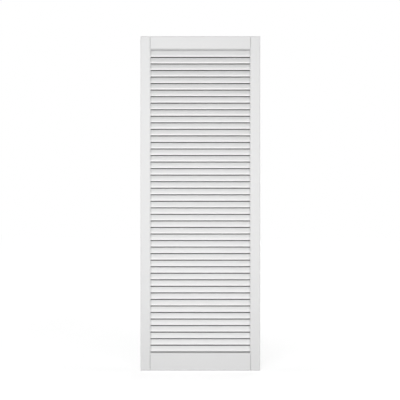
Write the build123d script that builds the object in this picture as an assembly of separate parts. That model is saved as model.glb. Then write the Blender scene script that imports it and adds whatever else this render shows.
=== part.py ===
from build123d import *

import math
import os

# A louvred door leaf in painted pine: two stiles, two rails and a ladder of fixed slats.
# X runs across the leaf, Y from its front to its back and Z up. The origin is the middle of
# the bottom edge. Lengths are in millimetres and angles in degrees.

# Leaf
leaf_height = 1100.0
leaf_width = 394.0
leaf_thickness = 21.0
arris_radius = 3.0

# Stiles and rails
stile_width = 33.0
joint_chamfer = 3.0
top_rail_height = 42.0
bottom_rail_height = 58.0

# Lips along the rails that close the view past the first and the last slat
lip_width = 6.5
lip_chamfer = 0.5
top_lip_height = 3.0
top_lip_setback = 6.5
bottom_lip_height = 4.0

# Slats, each with its lower edge at the front and its upper edge at the back
slat_thickness = 6.0
slat_chamfer = 1.75
slat_angle = 52.0
slat_recess = 0.4
nominal_slat_pitch = 21.5
top_slat_gap = 2.0
bottom_slat_gap = 5.0

# Housings in the stiles that hold the ends of the slats
housing_depth = 10.0
housing_side_clearance = 0.1
housing_end_clearance = 0.5

# Fluted dowels, two in each corner of the frame
dowel_diameter = 8.0
dowel_length = 50.0
dowel_chamfer = 1.0
dowel_flute_count = 12
dowel_flute_depth = 0.4
dowel_edge_distance = 11.0
dowel_side_clearance = 0.05
dowel_end_clearance = 1.0
wood_behind_dowel = 9.0

# How far a cutting shape runs past the face that it cuts
cut_overrun = 1.0

# Sizes that follow from the ones above
rail_length = leaf_width - 2 * stile_width
stile_inner_x = -rail_length / 2
opening_bottom = bottom_rail_height
opening_top = leaf_height - top_rail_height
bottom_lip_setback = leaf_thickness - arris_radius - lip_width

slope_cos = math.cos(math.radians(slat_angle))
slope_sin = math.sin(math.radians(slat_angle))
slat_corner_cut = 2 * slat_chamfer * min(slope_cos, slope_sin)
slat_depth = leaf_thickness - 2 * slat_recess
slat_width = (slat_depth + slat_corner_cut - slat_thickness * slope_sin) / slope_cos
slat_rise = slat_width * slope_sin + slat_thickness * slope_cos - slat_corner_cut
slat_length = rail_length + 2 * (housing_depth - housing_end_clearance)

highest_slat = opening_top - top_slat_gap - slat_rise / 2
lowest_slat = opening_bottom + bottom_slat_gap + slat_rise / 2
slat_count = round((highest_slat - lowest_slat) / nominal_slat_pitch) + 1
slat_pitch = (highest_slat - lowest_slat) / (slat_count - 1)
slat_heights = [highest_slat - step * slat_pitch for step in range(slat_count)]

dowel_radius = dowel_diameter / 2
dowel_hole_in_stile = stile_width - wood_behind_dowel
dowel_hole_in_rail = dowel_length + 2 * dowel_end_clearance - dowel_hole_in_stile
dowel_middle_x = stile_inner_x + (dowel_hole_in_rail - dowel_hole_in_stile) / 2
dowel_heights = [
    dowel_edge_distance,
    bottom_rail_height - dowel_edge_distance,
    opening_top + dowel_edge_distance,
    leaf_height - dowel_edge_distance,
]


def leaf_section(height, base):
    """Upright section of the leaf from base to base + height, with its long arrises rounded."""
    middle = Pos(0, base + height / 2)
    return Plane.YZ * middle * RectangleRounded(leaf_thickness, height, arris_radius)


def lip_section(height, setback):
    """Section of a lip that stands a height above a rail's edge at zero, set back from the front."""
    strip = Rectangle(lip_width, height + arris_radius)
    strip = chamfer(strip.vertices().group_by(Axis.Y)[-1], lip_chamfer)
    return Pos(setback + (lip_width - leaf_thickness) / 2, (height - arris_radius) / 2) * strip


def slat_section(height, clearance):
    """Section of a slat whose middle is at a height, or of the housing that clears it all round."""
    strip = Rectangle(slat_width, slat_thickness)
    strip = chamfer(strip.vertices(), slat_chamfer)
    strip = offset(strip, clearance, kind=Kind.INTERSECTION)
    return Plane.YZ * Pos(0, height) * Rot(0, 0, slat_angle) * strip


def slat_housings():
    """Pockets cut to the slats' own section in the inner side of the left stile."""
    start = Pos(stile_inner_x - housing_depth, 0, 0)
    pocket = start * extrude(slat_section(0, housing_side_clearance), housing_depth + cut_overrun)
    return [Pos(0, 0, height) * pocket for height in slat_heights]


def dowel_holes():
    """Bores for the dowels of the left corners, through the face where stile and rails meet."""
    radius = dowel_radius + dowel_side_clearance
    length = dowel_hole_in_stile + dowel_hole_in_rail
    bore = Rot(0, 90, 0) * Cylinder(radius, length)
    return [Pos(dowel_middle_x, 0, height) * bore for height in dowel_heights]


def stile_plan():
    """Plan of the left stile, its outer arrises rounded and its inner ones chamfered at the joints."""
    plan = Rectangle(stile_width, leaf_thickness)
    plan = fillet(plan.vertices().group_by(Axis.X)[0], arris_radius)
    return chamfer(plan.vertices().group_by(Axis.X)[-1], joint_chamfer)


def make_stile():
    """Left stile: stock with eased ends, housed for the slats and bored for the dowels."""
    ends = extrude(leaf_section(leaf_height, 0), leaf_width, both=True)
    stock = extrude(stile_plan(), leaf_height) & ends
    stock = Pos(stile_inner_x - stile_width / 2, 0, 0) * stock
    return stock - slat_housings() - dowel_holes()


def make_rail(height, base, lip):
    """Rail of a height above a base, with its lip, bored at both ends for the dowels."""
    section = leaf_section(height, base) + Plane.YZ * lip
    stock = extrude(section, rail_length / 2, both=True)
    left_bores = dowel_holes()
    right_bores = [mirror(bore, about=Plane.YZ) for bore in left_bores]
    return stock - left_bores - right_bores


def make_slat(height):
    """Slat whose middle is at a height, long enough to stand in the housings of both stiles."""
    return extrude(slat_section(height, 0), slat_length / 2, both=True)


def dowel_section(crest_radius):
    """Star-shaped section of a fluted dowel, with a crest on the radius for each flute."""
    root_radius = crest_radius * (dowel_radius - dowel_flute_depth) / dowel_radius
    half_step = math.pi / dowel_flute_count
    points = []
    for flute in range(dowel_flute_count):
        for radius, turn in ((crest_radius, 2 * flute), (root_radius, 2 * flute + 1)):
            angle = turn * half_step
            points.append((radius * math.cos(angle), radius * math.sin(angle)))
    return Polygon(*points, align=None)


def make_dowel():
    """Fluted dowel along X with chamfered ends, its middle at the origin."""
    shoulder = dowel_length / 2 - dowel_chamfer
    shank = extrude(dowel_section(dowel_radius), shoulder, both=True)
    root_of_tip = Pos(0, 0, shoulder) * dowel_section(dowel_radius)
    end_of_tip = Pos(0, 0, dowel_length / 2) * dowel_section(dowel_radius - dowel_chamfer)
    tip = loft([root_of_tip, end_of_tip], ruled=True)
    return Rot(0, 90, 0) * (shank + tip + mirror(tip, about=Plane.XY))


def make_corner_dowels():
    """All the dowels of the frame's four corners, as separate pegs."""
    peg = make_dowel()
    left = [Pos(dowel_middle_x, 0, height) * peg for height in dowel_heights]
    right = [mirror(one, about=Plane.YZ) for one in left]
    return Compound(children=left + right)


def make_leaf():
    """Every piece of the leaf by name, the slats numbered from the top."""
    left_stile = make_stile()
    top_lip = Pos(0, opening_top) * mirror(lip_section(top_lip_height, top_lip_setback), about=Plane.XZ)
    bottom_lip = Pos(0, opening_bottom) * lip_section(bottom_lip_height, bottom_lip_setback)
    pieces = {
        "left_stile": left_stile,
        "right_stile": mirror(left_stile, about=Plane.YZ),
        "top_rail": make_rail(top_rail_height, opening_top, top_lip),
        "bottom_rail": make_rail(bottom_rail_height, 0, bottom_lip),
        "corner_dowels": make_corner_dowels(),
    }
    for number, height in enumerate(slat_heights, start=1):
        pieces[f"slat_{number:02d}"] = make_slat(height)
    return pieces


os.makedirs("parts", exist_ok=True)
for name, piece in make_leaf().items():
    export_step(piece, f"parts/{name}.step")
print(f"{slat_count} slats, {slat_width:.2f} wide, at a pitch of {slat_pitch:.3f}")
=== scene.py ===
import logging
import math
from dataclasses import dataclass, field
from enum import Enum

import bpy
import numpy as np
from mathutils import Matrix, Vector


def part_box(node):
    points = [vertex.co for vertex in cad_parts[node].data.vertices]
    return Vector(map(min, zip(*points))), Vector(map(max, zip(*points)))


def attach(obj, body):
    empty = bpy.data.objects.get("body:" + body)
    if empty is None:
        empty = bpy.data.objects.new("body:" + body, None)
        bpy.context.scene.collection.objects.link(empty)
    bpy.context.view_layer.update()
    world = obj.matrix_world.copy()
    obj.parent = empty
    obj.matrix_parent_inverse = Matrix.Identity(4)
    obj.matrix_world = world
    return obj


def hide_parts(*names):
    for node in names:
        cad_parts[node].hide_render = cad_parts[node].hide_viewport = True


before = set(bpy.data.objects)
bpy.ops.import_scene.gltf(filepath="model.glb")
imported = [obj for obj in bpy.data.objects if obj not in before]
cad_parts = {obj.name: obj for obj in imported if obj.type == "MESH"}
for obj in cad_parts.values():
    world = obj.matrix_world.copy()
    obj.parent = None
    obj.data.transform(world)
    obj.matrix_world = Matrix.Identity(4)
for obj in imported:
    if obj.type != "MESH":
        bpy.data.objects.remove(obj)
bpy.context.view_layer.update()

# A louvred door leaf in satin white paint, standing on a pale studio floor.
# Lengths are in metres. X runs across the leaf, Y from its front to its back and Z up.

log = logging.getLogger("louvred_door")

BODY = "root"
FRAME_SLOT = "painted_frame"
SLAT_SLOT = "painted_slats"

# What each point of a slat carries: its place on the strip, and the strip's place in its board
STRIP = "strip"
SHIFT = "shift"

# An edge is drawn sharp where the surface turns by more than this
SHARP_TURN = math.radians(40.0)

# Phase that a wave texture gains over a unit of length at a scale of 1
WAVE_RATE = 20.0

# Sockets of a colour Mix node by number, because its sockets for other types share their names
MIX_FIRST, MIX_SECOND, MIX_RESULT = 6, 7, 2

Colour = tuple[float, float, float]
Point = tuple[float, float, float]
Span = tuple[float, float]
Shell = tuple[np.ndarray, list[list[int]]]
Socket = bpy.types.NodeSocket
Inputs = dict[str | int, object]


class Grain(Enum):
    """The axis that a board's grain runs along."""

    ACROSS = "X"
    UPRIGHT = "Z"


class Rail(Enum):
    """The two rails, by the names of their CAD nodes."""

    TOP = "top_rail"
    BOTTOM = "bottom_rail"


class Side(Enum):
    """Left or right half of the leaf, as the sign of X."""

    LEFT = -1
    RIGHT = 1


class Face(Enum):
    """Front or back of the leaf, as the sign of Y."""

    FRONT = -1
    BACK = 1


class ShaderTree:
    """Node tree of one material or world, with short calls that add and join nodes."""

    def __init__(self, owner: bpy.types.Material | bpy.types.World) -> None:
        """Starts an empty tree.

        Args:
            owner: the material or world that the tree belongs to.
        """
        owner.use_nodes = True
        self.owner = owner
        self.tree = owner.node_tree
        self.tree.nodes.clear()

    @classmethod
    def of_material(cls, name: str) -> "ShaderTree":
        """Returns the empty tree of a new material."""
        return cls(bpy.data.materials.new(name))

    def node(self, kind: str, inputs: Inputs | None = None, **settings: object) -> bpy.types.Node:
        """Adds a node.

        Args:
            kind: Blender's name of the node type.
            inputs: value or output socket for each input, by name or number.
            settings: properties of the node itself.

        Returns:
            The new node.
        """
        made = self.tree.nodes.new(kind)
        for key, value in settings.items():
            setattr(made, key, value)
        for key, value in (inputs or {}).items():
            if isinstance(value, Socket):
                self.tree.links.new(value, made.inputs[key])
            else:
                made.inputs[key].default_value = value
        return made

    def math(self, operation: str, first: object, second: object = 0.0) -> Socket:
        """Adds a Math node on one or two values or sockets and returns its output."""
        return self.node("ShaderNodeMath", {0: first, 1: second}, operation=operation).outputs[0]

    def ramp(
        self, value: Socket, span: Span, onto: Span = (0.0, 1.0), smooth: bool = False
    ) -> Socket:
        """Maps a span of values onto another span, and holds its ends beyond it.

        Args:
            value: output with the values.
            span: the values that give the first and the last result.
            onto: the first and the last result.
            smooth: whether the result eases in and out instead of running straight.

        Returns:
            The result's output.
        """
        inputs = {
            "Value": value,
            "From Min": span[0],
            "From Max": span[1],
            "To Min": onto[0],
            "To Max": onto[1],
        }
        course = "SMOOTHSTEP" if smooth else "LINEAR"
        return self.node("ShaderNodeMapRange", inputs, interpolation_type=course).outputs["Result"]

    def blend(self, share: Socket, first: Colour | Socket, second: Colour | Socket) -> Socket:
        """Mixes two colours.

        Args:
            share: output with the share of the second colour, from 0 to 1.
            first: a colour or its output.
            second: a colour or its output.

        Returns:
            The mixed colour's output.
        """
        mixed = [(*one, 1.0) if isinstance(one, tuple) else one for one in (first, second)]
        inputs = {"Factor": share, MIX_FIRST: mixed[0], MIX_SECOND: mixed[1]}
        return self.node("ShaderNodeMix", inputs, data_type="RGBA").outputs[MIX_RESULT]

    def place(self) -> Socket:
        """Returns the output that gives a point's place on the leaf."""
        return self.node("ShaderNodeTexCoord").outputs["Object"]

    def carried(self, name: str) -> Socket:
        """Returns the output that gives what a point carries under a name."""
        return self.node("ShaderNodeAttribute", attribute_name=name).outputs["Vector"]

    def parts(self, vector: Socket) -> bpy.types.NodeOutputs:
        """Returns the outputs X, Y and Z of a vector."""
        return self.node("ShaderNodeSeparateXYZ", {"Vector": vector}).outputs

    def noise(self, place: Socket, size: float, detail: float) -> Socket:
        """Returns a noise from 0 to 1 whose lumps have a size in metres."""
        inputs = {"Vector": place, "Scale": 1.0 / size, "Detail": detail}
        return self.node("ShaderNodeTexNoise", inputs).outputs[0]

    def bump(self, height: Socket, relief: float, strength: float = 1.0) -> Socket:
        """Returns the normal of a surface whose height from 0 to 1 is a relief in metres."""
        inputs = {"Height": height, "Distance": relief, "Strength": strength}
        return self.node("ShaderNodeBump", inputs).outputs["Normal"]

    def seen_directly(self) -> Socket:
        """Tells the rays that show a surface from those that only carry its light.

        Returns:
            The output, 1 for rays from the camera, off a gloss or through glass, and 0 for others.
        """
        path = self.node("ShaderNodeLightPath").outputs
        seen = self.math("MAXIMUM", path["Is Camera Ray"], path["Is Glossy Ray"])
        return self.math("MAXIMUM", seen, path["Is Transmission Ray"])

    def coat(self, inputs: Inputs) -> bpy.types.Material:
        """Ends the tree in one principled shader and returns the material."""
        return self.finish(self.node("ShaderNodeBsdfPrincipled", inputs).outputs["BSDF"])

    def finish(self, shader: Socket) -> bpy.types.Material | bpy.types.World:
        """Joins a shader to the surface.

        Args:
            shader: the shader's output.

        Returns:
            The material or world that the tree belongs to.
        """
        kind = "World" if isinstance(self.owner, bpy.types.World) else "Material"
        self.node(f"ShaderNodeOutput{kind}", {"Surface": shader})
        return self.owner


@dataclass(frozen=True)
class SatinPaint:
    """Satin white paint on pine, with the wood's growth rings faintly raised under the film.

    The rings are cylinders round the board's pith, stretched along the grain. Fibres are a fine
    noise drawn out along the grain, and the sprayed film has a finer even ripple of its own.
    """

    name: str
    grain: Grain
    pith: Point = (0.0, 0.0, 0.0)
    white: Colour = (0.762, 0.762, 0.763)
    over_latewood: Colour = (0.743, 0.742, 0.739)
    latewood_share: float = 0.35
    ring_spacing: float = 0.0034
    ring_wander: float = 5.0
    ring_detail: float = 2.0
    ring_detail_scale: float = 0.6
    grain_stretch: float = 0.05
    fibre_size: float = 0.0006
    fibre_detail: float = 3.0
    ripple_size: float = 0.0014
    ripple_detail: float = 1.0
    cloud_size: float = 0.16
    cloud_detail: float = 2.0
    film_relief: float = 0.00006
    relief_strength: float = 0.5
    smoothest: float = 0.36
    roughest: float = 0.46

    def place(self, tree: ShaderTree) -> Socket:
        """Returns the output that gives a point's place in the wood."""
        return tree.place()

    def colour(self, tree: ShaderTree, rings: Socket, cloud: Socket) -> Socket:
        """Colours the film, a shade darker over the late wood of some rings.

        Args:
            tree: the material's nodes.
            rings: wave across the growth rings.
            cloud: broad noise.

        Returns:
            The colour's output.
        """
        latewood = tree.math("MULTIPLY", rings, cloud)
        share = tree.ramp(latewood, (0.0, 1.0), (0.0, self.latewood_share))
        return tree.blend(share, self.white, self.over_latewood)

    def along_grain(self, tree: ShaderTree, place: Socket) -> Socket:
        """Measures a place from the pith and draws it out along the grain.

        Args:
            tree: the material's nodes.
            place: output with the place in the wood.

        Returns:
            The drawn-out place's output.
        """
        upright = self.grain is Grain.UPRIGHT
        stretch = (1.0, 1.0, self.grain_stretch) if upright else (self.grain_stretch, 1.0, 1.0)
        away = tuple(-offset for offset in self.pith)
        inputs = {"Vector": place, "Location": away, "Scale": stretch}
        return tree.node("ShaderNodeMapping", inputs).outputs["Vector"]

    def rings(self, tree: ShaderTree, place: Socket) -> Socket:
        """Draws the growth rings as a sine of the distance from the pith.

        Args:
            tree: the material's nodes.
            place: output with the place along the grain.

        Returns:
            The wave's output, from 0 to 1.
        """
        inputs = {
            "Vector": place,
            "Scale": math.tau / (WAVE_RATE * self.ring_spacing),
            "Distortion": self.ring_wander,
            "Detail": self.ring_detail,
            "Detail Scale": self.ring_detail_scale,
        }
        settings = {"wave_type": "RINGS", "rings_direction": self.grain.value}
        return tree.node("ShaderNodeTexWave", inputs, **settings).outputs["Fac"]

    def material(self) -> bpy.types.Material:
        """Joins colour, gloss and relief.

        Returns:
            The new material.
        """
        tree = ShaderTree.of_material(self.name)
        place = self.place(tree)
        drawn_out = self.along_grain(tree, place)
        rings = self.rings(tree, drawn_out)
        fibres = tree.noise(drawn_out, self.fibre_size, self.fibre_detail)
        ripple = tree.noise(place, self.ripple_size, self.ripple_detail)
        cloud = tree.noise(place, self.cloud_size, self.cloud_detail)
        wood = tree.math("ADD", rings, fibres)
        height = tree.math("ADD", wood, ripple)
        return tree.coat({
            "Base Color": self.colour(tree, rings, cloud),
            "Roughness": tree.ramp(fibres, (0.0, 1.0), (self.smoothest, self.roughest)),
            "Normal": tree.bump(height, self.film_relief, self.relief_strength),
        })


@dataclass(frozen=True)
class SlatPaint(SatinPaint):
    """Satin paint on the slats, whiter than the frame's as painted light, and dark with painted
    shade where the next slat covers them and at their ends.

    A slat's place is kept in what its points carry: the place along, across and through the strip,
    and the shift that gives each strip a grain of its own.
    """

    # Painted light: whiter than the frame's paint, standing in for light that the slats' upturned
    # faces catch
    white: Colour = (0.94, 0.94, 0.941)
    over_latewood: Colour = (0.92, 0.919, 0.916)
    # Painted shade: the dark colour where the next slat covers a slat and at its ends beside the
    # stiles
    shade_colour: Colour = (0.05, 0.05, 0.0505)
    half_width: float = 0.014
    half_thickness: float = 0.003
    half_opening: float = 0.164
    open_above: float = 1.044
    shade_band: float = 0.0072
    shade_fading_band: float = 0.002
    # Painted shade begins further across the slats above this height and nearer their edge below it
    shade_level_height: float = 0.56
    shade_reach_per_height: float = 0.003
    # Painted shade at the slats' ends beside the stiles
    end_shade_band: float = 0.006
    end_shade_share: float = 0.2

    def place(self, tree: ShaderTree) -> Socket:
        """Returns the output that gives a point's place in the board that its strip came from."""
        inputs = {0: tree.carried(STRIP), 1: tree.carried(SHIFT)}
        return tree.node("ShaderNodeVectorMath", inputs, operation="ADD").outputs["Vector"]

    def colour(self, tree: ShaderTree, rings: Socket, cloud: Socket) -> Socket:
        """Colours the film, fading to painted shade under cover and a little at the strip's ends.

        Args:
            tree: the material's nodes.
            rings: wave across the growth rings.
            cloud: broad noise.

        Returns:
            The colour's output.
        """
        full = super().colour(tree, rings, cloud)
        shade_share = tree.math("MAXIMUM", self.painted_cover_shade(tree), self.end_shade(tree))
        return tree.blend(shade_share, full, self.shade_colour)

    def painted_cover_shade(self, tree: ShaderTree) -> Socket:
        """Finds where the next slat covers the strip, which gets painted shade.

        The upper face is covered at the back edge and the lower face at the front edge, so the
        cover is the place across times the place through, over half the thickness. The painted
        shade begins further across the slats above one height and nearer their edge below it, as
        shade seen from that height would. No slat covers the upper half of the top one, which has
        no painted shade there.

        Args:
            tree: the material's nodes.

        Returns:
            The share of painted shade, from 0 in the open to 1 under cover.
        """
        strip = tree.parts(tree.carried(STRIP))
        height = tree.parts(tree.place())["Z"]
        above_shade_level = tree.math("SUBTRACT", height, self.shade_level_height)
        reach = tree.math("MULTIPLY", above_shade_level, self.shade_reach_per_height)
        across = tree.math("SUBTRACT", strip["Y"], reach)
        turned = tree.math("MULTIPLY", across, strip["Z"])
        cover = tree.math("DIVIDE", turned, self.half_thickness)
        shade_from = self.half_width - self.shade_band
        share = tree.ramp(cover, (shade_from - self.shade_fading_band, shade_from), smooth=True)
        return tree.math("MULTIPLY", share, tree.math("LESS_THAN", height, self.open_above))

    def end_shade(self, tree: ShaderTree) -> Socket:
        """Finds the strip's ends beside the stiles, which get a little painted shade.

        Args:
            tree: the material's nodes.

        Returns:
            The output, from 0 along the strip to the end shade share at the stiles.
        """
        from_middle = tree.math("ABSOLUTE", tree.parts(tree.carried(STRIP))["X"])
        span = (self.half_opening - self.end_shade_band, self.half_opening)
        return tree.ramp(from_middle, span, (0.0, self.end_shade_share), smooth=True)


@dataclass(frozen=True)
class LipShadePaint(SatinPaint):
    """Satin paint on a rail, with grey painted shade on the lip beside the outermost slat."""

    # Painted shade: the grey on the lip beside the outermost slat
    shade_colour: Colour = (0.53, 0.53, 0.532)
    fade_from: float = 0.0
    edge: float = 0.0
    hidden_to: float = 0.0073

    def colour(self, tree: ShaderTree, rings: Socket, cloud: Socket) -> Socket:
        """Colours the film, fading to painted shade past the rail's edge but not at the back.

        Args:
            tree: the material's nodes.
            rings: wave across the growth rings.
            cloud: broad noise.

        Returns:
            The colour's output.
        """
        full = super().colour(tree, rings, cloud)
        place = tree.parts(self.place(tree))
        past_edge = tree.ramp(place["Z"], (self.fade_from, self.edge))
        hidden = tree.math("LESS_THAN", place["Y"], self.hidden_to)
        return tree.blend(tree.math("MULTIPLY", past_edge, hidden), full, self.shade_colour)


@dataclass(frozen=True)
class JointShade:
    """Grey painted shade in the fine crack along a joint."""

    name: str = "shade_in_joints"
    # Painted shade at the root of the groove
    colour: Colour = (0.28, 0.28, 0.278)
    roughness: float = 0.85

    def material(self) -> bpy.types.Material:
        """Returns the new material."""
        inputs = {"Base Color": (*self.colour, 1.0), "Roughness": self.roughness}
        return ShaderTree.of_material(self.name).coat(inputs)


@dataclass(frozen=True)
class BareBeech:
    """Bare beech for the dowels: a pinkish brown with short darker flecks along the peg."""

    name: str = "bare_beech"
    ground: Colour = (0.56, 0.38, 0.22)
    fleck: Colour = (0.38, 0.22, 0.11)
    fleck_stretch: float = 0.12
    fleck_size: float = 0.0009
    fleck_detail: float = 3.0
    roughness: float = 0.62
    relief: float = 0.00008

    def material(self) -> bpy.types.Material:
        """Draws the flecks as a noise stretched along the peg, in colour and in relief.

        Returns:
            The new material.
        """
        tree = ShaderTree.of_material(self.name)
        inputs = {"Vector": tree.place(), "Scale": (self.fleck_stretch, 1.0, 1.0)}
        drawn_out = tree.node("ShaderNodeMapping", inputs).outputs["Vector"]
        flecks = tree.noise(drawn_out, self.fleck_size, self.fleck_detail)
        return tree.coat({
            "Base Color": tree.blend(flecks, self.ground, self.fleck),
            "Roughness": self.roughness,
            "Normal": tree.bump(flecks, self.relief),
        })


@dataclass(frozen=True)
class PaleFloor:
    """Pale floor that looks white, with the leaf's faint shadow near its foot.

    A glow that is seen but lights nothing lifts the floor to white. It grows from the leaf
    outwards, as the lamps' light falls off, so that the far floor runs into the white room.
    """

    name: str = "pale_floor"
    colour: Colour = (0.8, 0.8, 0.8)
    lift_near: float = 0.43
    lift_far: float = 0.75
    near: float = 0.2
    far: float = 2.4

    def material(self) -> bpy.types.Material:
        """Adds the glow to a matt floor.

        Returns:
            The new material.
        """
        tree = ShaderTree.of_material(self.name)
        inputs = {0: tree.place()}
        away = tree.node("ShaderNodeVectorMath", inputs, operation="LENGTH").outputs["Value"]
        lift = tree.ramp(away, (self.near, self.far), (self.lift_near, self.lift_far))
        lift = tree.math("MULTIPLY", tree.seen_directly(), lift)
        glow = tree.node("ShaderNodeEmission", {"Strength": lift}).outputs["Emission"]
        matt = tree.node("ShaderNodeBsdfDiffuse", {"Color": (*self.colour, 1.0)}).outputs["BSDF"]
        return tree.finish(tree.node("ShaderNodeAddShader", {0: glow, 1: matt}).outputs["Shader"])


@dataclass(frozen=True)
class Surface:
    """Points of a closed surface, its faces, and what each point carries by name."""

    points: np.ndarray
    faces: list[list[int]]
    carried: dict[str, np.ndarray] = field(default_factory=dict)

    def piece(self, name: str, material: bpy.types.Material, slot: str) -> bpy.types.Object:
        """Makes the surface a piece of the leaf.

        Args:
            name: the piece's name.
            material: its finish.
            slot: not used.

        Returns:
            The new object, riding with the leaf.
        """
        mesh = bpy.data.meshes.new(name)
        mesh.from_pydata(self.points.tolist(), [], self.faces)
        mesh.polygons.foreach_set("use_smooth", np.ones(len(mesh.polygons), bool))
        mesh.set_sharp_from_angle(angle=SHARP_TURN)
        for carried_name, values in self.carried.items():
            stored = mesh.attributes.new(carried_name, "FLOAT_VECTOR", "POINT")
            stored.data.foreach_set("vector", values.astype(np.float32).ravel())
        mesh.materials.append(material)
        made = bpy.data.objects.new(name, mesh)
        bpy.context.scene.collection.objects.link(made)
        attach(made, BODY)
        log.info("built: %s", name)
        return made


def signed_volume(points: np.ndarray, quads: np.ndarray) -> float:
    """Measures what quads enclose, as the sum of each one's area vector times its middle.

    Args:
        points: corners as an array of X, Y, Z.
        quads: four corners' numbers for each quad.

    Returns:
        A multiple of the volume, negative if the quads face inwards.
    """
    a, b, c, d = np.moveaxis((points - points.mean(axis=0))[quads], 1, 0)
    return float(np.einsum("ij,ij->", np.cross(c - a, d - b), (a + b + c + d) / 4.0))


def skin(rings: np.ndarray, closed: bool) -> list[list[int]]:
    """Covers a grid of rings: each quad joins two neighbours on a ring to the next ring.

    Args:
        rings: points as an array of ring, place on the ring and X, Y, Z.
        closed: whether the last ring joins the first. If not, both end rings are capped.

    Returns:
        The faces, turned so that they point outwards.
    """
    count, around = rings.shape[:2]
    index = np.arange(count * around).reshape(count, around)
    onward = np.roll(index, -1, axis=0)
    if not closed:
        index, onward = index[:-1], onward[:-1]
    corners = (index, np.roll(index, -1, axis=1), np.roll(onward, -1, axis=1), onward)
    quads = np.stack(corners, axis=-1).reshape(-1, 4)
    points = rings.reshape(-1, 3)
    inward = signed_volume(points, quads) < 0.0
    caps = [] if closed else [np.arange(around)[::-1], np.arange(around) + (count - 1) * around]
    faces = quads.tolist() + [cap.tolist() for cap in caps]
    return [face[::-1] for face in faces] if inward else faces


def merge(shells: list[Shell]) -> Surface:
    """Puts several closed shells into one surface.

    Args:
        shells: points and faces of each shell.

    Returns:
        The surface, with each shell's corners numbered on from the shell before.
    """
    starts = np.cumsum([0] + [len(points) for points, _ in shells])
    faces = [
        [corner + int(start) for corner in face]
        for start, (_, own_faces) in zip(starts, shells)
        for face in own_faces
    ]
    return Surface(np.vstack([points for points, _ in shells]), faces)


@dataclass(frozen=True)
class SlatSection:
    """Section of a slat: a sloping strip with rounded edges.

    A point is measured across the strip, from its lower front edge to its upper back edge, and
    through it, towards the face that shows at the front.
    """

    width: float
    thickness: float
    slope: float
    edge_radius: float
    points_per_corner: int = 8

    @property
    def across(self) -> np.ndarray:
        """Direction from the lower front edge to the upper back edge."""
        return np.array([0.0, math.cos(self.slope), math.sin(self.slope)])

    @property
    def through(self) -> np.ndarray:
        """Direction out of the face that shows at the front."""
        return np.array([0.0, -math.sin(self.slope), math.cos(self.slope)])

    def outline(self) -> tuple[np.ndarray, np.ndarray]:
        """Goes round the section.

        Each corner is a quarter circle of the edge radius, and the flats between them close it.

        Returns:
            Points and unit normals as arrays of place and (across, through).
        """
        quarter = math.pi / 2.0
        turn = np.linspace(0.0, quarter, self.points_per_corner)
        turns = (np.arange(-1.0, 3.0)[:, None] * quarter + turn).ravel()
        normals = np.stack([np.cos(turns), np.sin(turns)], axis=-1)
        corners = np.array([[1.0, -1.0], [1.0, 1.0], [-1.0, 1.0], [-1.0, -1.0]])
        reach = np.array([self.width, self.thickness]) / 2.0 - self.edge_radius
        centres = np.repeat(corners * reach, self.points_per_corner, axis=0)
        return centres + self.edge_radius * normals, normals

    def in_space(self, flat: np.ndarray) -> np.ndarray:
        """Turns (across, through) pairs into X, Y, Z directions."""
        return flat[..., :1] * self.across + flat[..., 1:] * self.through


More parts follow.
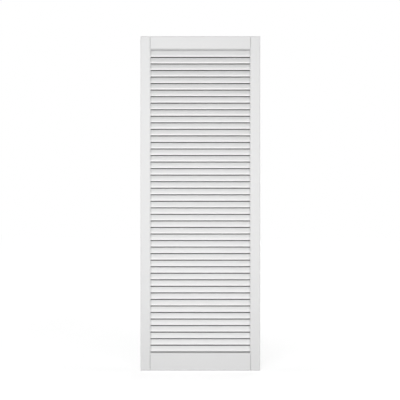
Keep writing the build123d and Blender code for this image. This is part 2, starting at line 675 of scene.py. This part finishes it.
@dataclass
class SlatLadder:
    """The fixed slats, each bowed by a hair along its length as thin pine strips are."""

    thickness: float = 0.006
    slope_degrees: float = 52.0
    largest_bow: float = 0.00022
    stations: int = 25
    board_spread: float = 0.05
    pith_depth: float = 0.03
    seed: int = 46

    def __post_init__(self) -> None:
        """Reads the slats' nodes and their common section from the frame."""
        self.nodes = sorted(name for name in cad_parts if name.startswith("slat_"))
        self.section = self.read_section()
        self.rng = np.random.default_rng(self.seed)

    def read_section(self) -> SlatSection:
        """Finds the width and the edge radius with which a slat fills its box.

        The box's depth and rise both take in the width, the thickness and the rounded corners,
        turned by the slope, and their difference is free of the corners.

        Returns:
            The section, at the ladder's thickness and slope.
        """
        low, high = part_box(self.nodes[0])
        depth, rise = high.y - low.y, high.z - low.z
        slope = math.radians(self.slope_degrees)
        cos, sin = math.cos(slope), math.sin(slope)
        width = self.thickness + (depth - rise) / (cos - sin)
        square_depth = width * cos + self.thickness * sin
        radius = (square_depth - depth) / (2.0 * (cos + sin - 1.0))
        return SlatSection(width, self.thickness, slope, radius)

    def surface(self, node: str) -> Surface:
        """Carries the section along X for one slat.

        The bow is a half sine along the length, zero at both ends, across the strip's thickness.

        Args:
            node: the CAD node that the slat stands for.

        Returns:
            The closed surface, with each point's place on the strip and the strip's own shift.
        """
        low, high = (np.array(corner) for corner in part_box(node))
        middle = (low + high) / 2.0
        flat, _ = self.section.outline()
        share = np.linspace(0.0, 1.0, self.stations)
        bow = self.rng.uniform(-1.0, 1.0) * self.largest_bow * np.sin(math.pi * share)
        along = low[0] + share * (high[0] - low[0])

        rings = np.zeros((self.stations, len(flat), 3))
        rings += self.section.in_space(flat) + bow[:, None, None] * self.section.through
        rings[..., 0] += along[:, None]
        rings[..., 1:] += middle[1:]

        strip = np.zeros_like(rings)
        strip[..., 0] = along[:, None]
        strip[..., 1:] = flat
        shift = self.rng.uniform(-1.0, 1.0, 3) * self.board_spread
        shift[2] = self.pith_depth * (1.0 + self.rng.uniform(0.0, 1.0))
        carried = {STRIP: strip.reshape(-1, 3), SHIFT: np.tile(shift, (rings[..., 0].size, 1))}
        return Surface(rings.reshape(-1, 3), skin(rings, closed=False), carried)

    def paint(self) -> bpy.types.Material:
        """Fits the slats' paint to their section, the opening and the top slat's height.

        Returns:
            The new material.
        """
        low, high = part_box(self.nodes[0])
        finish = SlatPaint(
            "paint_on_slats",
            Grain.ACROSS,
            half_width=self.section.width / 2.0,
            half_thickness=self.section.thickness / 2.0,
            half_opening=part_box("right_stile")[0].x,
            open_above=(low.z + high.z) / 2.0,
        )
        return finish.material()

    def build(self) -> None:
        """Makes each slat and hides its CAD node."""
        material = self.paint()
        for node in self.nodes:
            piece = self.surface(node).piece(f"louvre_{node}", material, SLAT_SLOT)
            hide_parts(node)
        log.info("slats: %d", len(self.nodes))


def dress_node(node: str, material: bpy.types.Material) -> None:
    """Puts a finish on a CAD node as it is.

    Args:
        node: the CAD node.
        material: the finish.
    """
    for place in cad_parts[node].material_slots:
        place.material = material
    log.info("dressed: %s", node)


@dataclass
class StileAndRailFrame:
    """The leaf's own frame: CAD stiles and rails in paint, and the dowels in their corners."""

    chamfer: float = 0.003
    arris: float = 0.003
    top_lip: float = 0.003
    bottom_lip: float = 0.004
    top_fading: float = 0.0002
    bottom_fading: float = 0.0007
    pith_behind: float = 0.035
    stile_pith_factor: float = 1.03
    rail_pith_factor: float = 1.01

    def __post_init__(self) -> None:
        """Reads the members' places from the frame."""
        stile_low, stile_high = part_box("right_stile")
        self.inner_x = stile_low.x
        self.half_depth = stile_high.y

    def rail_span(self, rail: Rail) -> Span:
        """Measures a rail without its lip.

        Args:
            rail: which of the two.

        Returns:
            Heights of its lower and upper edge.
        """
        low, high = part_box(rail.value)
        if rail is Rail.TOP:
            return low.z + self.top_lip, high.z
        return low.z, high.z - self.bottom_lip

    def side_x(self, y: np.ndarray) -> np.ndarray:
        """Measures how far a stile's inner side is from the middle of the leaf.

        The side is flat, and within a chamfer of each face it leans outwards at 45 degrees.

        Args:
            y: depths in the leaf.

        Returns:
            The distances along X, for either stile.
        """
        return self.inner_x + np.maximum(0.0, np.abs(y) - (self.half_depth - self.chamfer))

    def pith(self, node: str, grain: Grain) -> Point:
        """Places the pith of a member's board behind its face, a little beyond its middle.

        Args:
            node: the member.
            grain: the axis that its grain runs along.

        Returns:
            A point on the pith.
        """
        low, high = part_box(node)
        middle = (low + high) / 2.0
        if grain is Grain.UPRIGHT:
            return (middle.x * self.stile_pith_factor, self.pith_behind, 0.0)
        return (0.0, self.pith_behind, middle.z * self.rail_pith_factor)

    def rail_paint(self, rail: Rail) -> LipShadePaint:
        """Fits a rail's paint to the edge that its lip stands on.

        Args:
            rail: which of the two.

        Returns:
            The paint, with painted shade from that edge onwards.
        """
        lower, upper = self.rail_span(rail)
        at_top = rail is Rail.TOP
        return LipShadePaint(
            f"paint_on_{rail.value}",
            Grain.ACROSS,
            self.pith(rail.value, Grain.ACROSS),
            fade_from=lower + self.top_fading if at_top else upper - self.bottom_fading,
            edge=lower if at_top else upper,
        )

    def dress(self) -> None:
        """Gives every member its paint, with the grain along its length."""
        for node in ("left_stile", "right_stile"):
            pith = self.pith(node, Grain.UPRIGHT)
            dress_node(node, SatinPaint(f"paint_on_{node}", Grain.UPRIGHT, pith).material())
        for rail in Rail:
            dress_node(rail.value, self.rail_paint(rail).material())
        dress_node("corner_dowels", BareBeech().material())


@dataclass
class PaintFillets:
    """Paint that has gathered where the slats enter the stiles and dried as hollow fillets."""

    leaf_frame: StileAndRailFrame
    ladder: SlatLadder
    leg: float = 0.00036
    sunk: float = 0.0002
    points_per_hollow: int = 5

    def hollow(self) -> np.ndarray:
        """Draws the section of a fillet between two walls.

        A quarter circle, hollow towards the open side, runs from the end of one leg to the end
        of the other, and a last point lies inside both walls.

        Returns:
            Points as an array of (along the first wall, along the second wall).
        """
        turn = np.linspace(0.0, math.pi / 2.0, self.points_per_hollow)
        arc = self.leg * (1.0 - np.stack([np.sin(turn), np.cos(turn)], axis=-1))
        return np.vstack([arc, [-self.sunk, -self.sunk]])

    def round_slat_end(self, node: str, side: Side) -> Shell:
        """Carries the hollow section round a slat where it enters a stile.

        The section's first leg stands out from the slat over the stile, and its second runs along
        the slat away from the stile.

        Args:
            node: the slat's CAD node.
            side: the stile that it enters.

        Returns:
            Points and faces of the closed ring.
        """
        section = self.ladder.section
        low, high = (np.array(corner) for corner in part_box(node))
        centre = (low + high) / 2.0
        centre[0] = 0.0
        flat, normals = section.outline()
        hollow = self.hollow()
        rings = centre + section.in_space(flat)[:, None, :]
        rings = rings + hollow[None, :, :1] * section.in_space(normals)[:, None, :]
        rings[..., 0] = side.value * (self.leaf_frame.side_x(rings[..., 1]) - hollow[None, :, 1])
        return rings.reshape(-1, 3), skin(rings, closed=True)

    def build(self) -> None:
        """Makes one piece of all the fillets on each stile."""
        material = SatinPaint("paint_in_corners", Grain.UPRIGHT).material()
        for side in Side:
            shells = [self.round_slat_end(node, side) for node in self.ladder.nodes]
            merge(shells).piece(f"paint_fillets_{side.name.lower()}", material, FRAME_SLOT)


@dataclass
class JointLines:
    """Fine dark lines of painted shade at the roots of the grooves between the members, where paint
    has parted.
    """

    leaf_frame: StileAndRailFrame
    leg: float = 0.0009
    sunk: float = 0.0002
    taper: float = 0.008
    thinnest_share: float = 0.05
    stations: int = 17

    def line(self, rail: Rail, side: Side, face: Face) -> Shell:
        """Carries a small triangle up one joint.

        The triangle has its corner behind the groove's root, one leg on the stile's chamfer and one
        on the rail's end, and goes up the rail's flat height. Its legs grow from next to nothing at
        both ends, as a sine over the taper.

        Args:
            rail: the rail that butts the stile.
            side: the stile.
            face: the face of the leaf that the groove is in.

        Returns:
            Points and faces of the closed strip.
        """
        bottom, top = self.leaf_frame.rail_span(rail)
        arris = self.leaf_frame.arris
        heights = np.linspace(bottom + arris, top - arris, self.stations)
        from_end = np.minimum(heights - heights[0], heights[-1] - heights) / self.taper
        size = self.leg * np.sin(np.clip(from_end, self.thinnest_share, 1.0) * math.pi / 2.0)
        none, sunk = np.zeros_like(size), np.full_like(size, -self.sunk)
        slant = math.sqrt(0.5) * np.stack([size, none, sunk], axis=-1)
        on_rail = np.stack([none, size, sunk], axis=-1)
        root_y = self.leaf_frame.half_depth - self.leaf_frame.chamfer
        rings = np.zeros((*slant.shape, 3))
        rings[..., 0] = side.value * (self.leaf_frame.inner_x + slant)
        rings[..., 1] = face.value * (root_y + slant + on_rail)
        rings[..., 2] = heights[:, None]
        return rings.reshape(-1, 3), skin(rings, closed=False)

    def build(self) -> None:
        """Makes one piece of all the lines."""
        lines = [self.line(rail, side, face) for rail in Rail for side in Side for face in Face]
        merge(lines).piece("joint_lines", JointShade().material(), FRAME_SLOT)


@dataclass(frozen=True)
class SoftBox:
    """A soft rectangular studio lamp, aimed at a point, whose beam a grid can narrow."""

    name: str
    place: Point
    watts: float
    target: Point = (0.0, 0.0, 0.55)
    width: float = 1.0
    height: float = 1.0
    beam_degrees: float = 180.0

    def build(self) -> None:
        """Hangs the lamp."""
        lamp = bpy.data.lights.new(self.name, "AREA")
        lamp.shape = "RECTANGLE"
        lamp.size, lamp.size_y = self.width, self.height
        lamp.energy = self.watts
        lamp.spread = math.radians(self.beam_degrees)
        held = bpy.data.objects.new(self.name, lamp)
        held.location = self.place
        aim = Vector(self.target) - Vector(self.place)
        held.rotation_euler = aim.to_track_quat("-Z", "Y").to_euler()
        held.visible_camera = False
        bpy.context.scene.collection.objects.link(held)


@dataclass
class Studio:
    """Floor, lamps, surroundings and camera."""

    floor_half: float = 12.0
    floor_cells: int = 8
    room_white: float = 1.0
    ambient: float = 0.315
    camera_place: Point = (-0.00115, -3.5, 0.5611)
    sensor: float = 36.0
    lens: float = 95.5
    lamps: tuple[SoftBox, ...] = (
        SoftBox("left_box", (-0.5, -2.2, 1.3), 14.2),
        SoftBox("right_box", (0.5, -2.2, 1.3), 5.8),
        SoftBox("low_box", (0.0, -1.6, 0.3), 7.9),
        SoftBox("left_side_box", (-2.6, 0.0, 0.8), 10.5),
        SoftBox("right_side_box", (2.6, 0.0, 0.8), 10.5),
        SoftBox("top_box", (0.0, 0.0, 3.2), 4.2),
        SoftBox(
            "back_box",
            (0.6, 2.4, 0.5),
            5.0,
            target=(0.0, 0.0, 0.5),
            width=1.4,
            height=0.8,
            beam_degrees=60.0,
        ),
    )

    def lay_floor(self) -> None:
        """Lays the floor: a level grid of even cells at the foot of the leaf."""
        steps = np.linspace(-self.floor_half, self.floor_half, self.floor_cells + 1)
        x, y = np.meshgrid(steps, steps)
        points = np.stack([x, y, np.zeros_like(x)], axis=-1).reshape(-1, 3)
        index = np.arange(x.size).reshape(x.shape)
        corners = (index[:-1, :-1], index[:-1, 1:], index[1:, 1:], index[1:, :-1])
        quads = np.stack(corners, axis=-1).reshape(-1, 4)
        mesh = bpy.data.meshes.new("floor")
        mesh.from_pydata(points.tolist(), [], quads.tolist())
        mesh.materials.append(PaleFloor().material())
        floor = bpy.data.objects.new("floor", mesh)
        bpy.context.scene.collection.objects.link(floor)

    def surround(self) -> None:
        """Puts the leaf in a room that looks white and gives a plain level of light."""
        world = bpy.data.worlds.new("studio")
        bpy.context.scene.world = world
        tree = ShaderTree(world)
        white = (1.0, 1.0, 1.0, 1.0)
        seen = tree.node("ShaderNodeBackground", {"Color": white, "Strength": self.room_white})
        felt = tree.node("ShaderNodeBackground", {"Color": white, "Strength": self.ambient})
        inputs = {0: tree.seen_directly(), 1: felt.outputs[0], 2: seen.outputs[0]}
        tree.finish(tree.node("ShaderNodeMixShader", inputs).outputs[0])

    def place_camera(self) -> None:
        """Stands the camera square on to the leaf."""
        camera = bpy.data.cameras.new("camera")
        camera.sensor_width = self.sensor
        camera.lens = self.lens
        held = bpy.data.objects.new("camera", camera)
        held.location = self.camera_place
        held.rotation_euler = (math.pi / 2.0, 0.0, 0.0)
        bpy.context.scene.collection.objects.link(held)
        bpy.context.scene.camera = held

    def build(self) -> None:
        """Sets the whole studio up."""
        bpy.context.scene.view_settings.view_transform = "Standard"
        self.lay_floor()
        self.surround()
        for lamp in self.lamps:
            lamp.build()
        self.place_camera()
        log.info("studio: %d lamps", len(self.lamps))


def main() -> None:
    """Builds and dresses the leaf, then the studio round it."""
    logging.basicConfig(level=logging.INFO, format="%(name)s: %(message)s")
    leaf_frame = StileAndRailFrame()
    leaf_frame.dress()
    ladder = SlatLadder()
    ladder.build()
    PaintFillets(leaf_frame, ladder).build()
    JointLines(leaf_frame).build()
    Studio().build()


if __name__ == "__main__":
    main()
